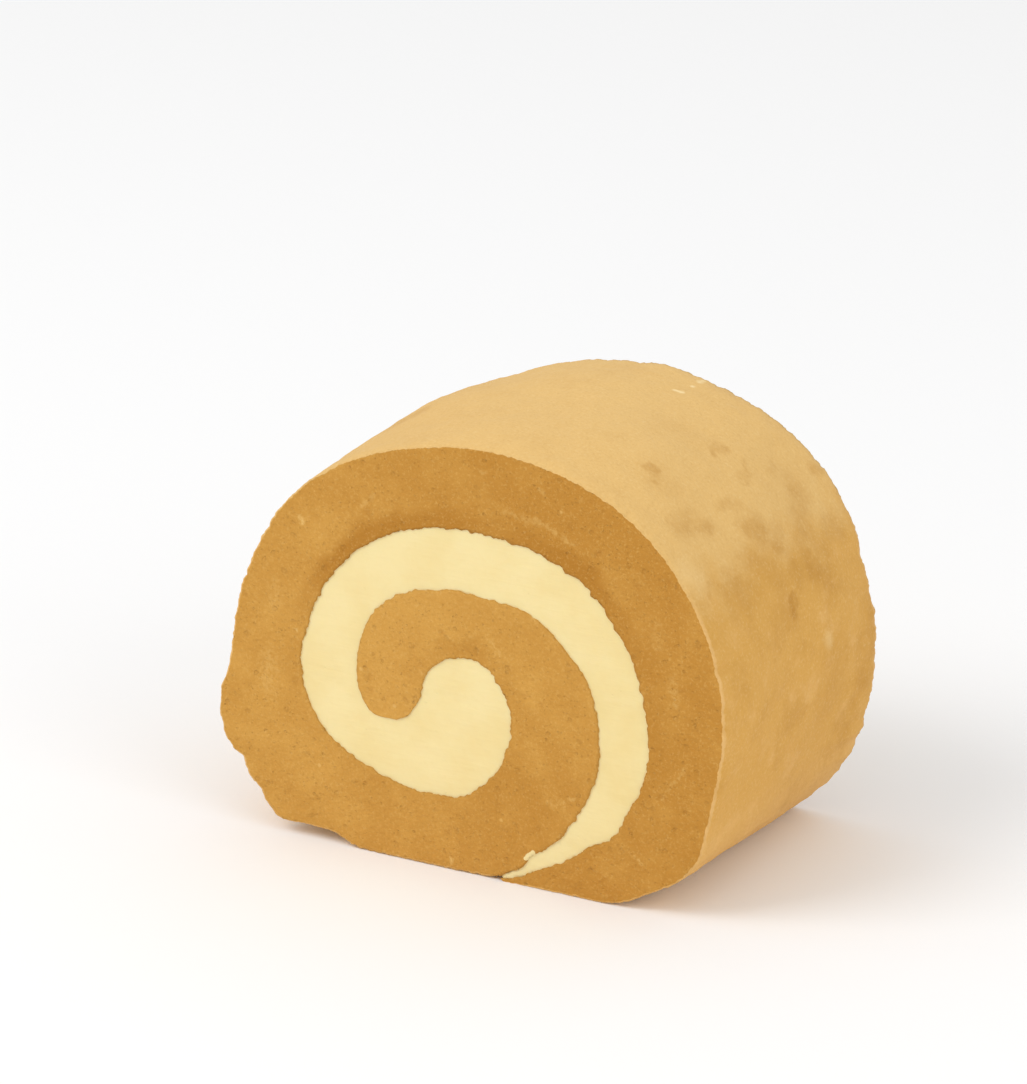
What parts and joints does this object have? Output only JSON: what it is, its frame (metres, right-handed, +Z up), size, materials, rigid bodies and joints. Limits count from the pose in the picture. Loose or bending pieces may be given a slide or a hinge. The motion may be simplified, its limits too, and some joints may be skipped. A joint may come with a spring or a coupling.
{
  "type": "swiss roll cake",
  "caption": "Short cut length of swiss roll cake: tan sponge sheet rolled round pale cream, flat underneath, with the swirl showing at the cut ends.",
  "frame": {"origin": "middle of the box of the roll, on the surface it rests on", "axes": "+X across the roll to the right of the front cut end, +Y along the roll from the front cut end to the back one, +Z up"},
  "size_m": [0.0944, 0.0526, 0.0746],
  "materials": {
    "sponge": "soft matt crumb at the cut ends, thin lighter tan skin with brown patches round the outside",
    "cream": "smooth pale yellow cream, satin"
  },
  "bodies": {
    "root": {"sponge": "sponge", "cream": "cream"}
  },
  "joints": []
}
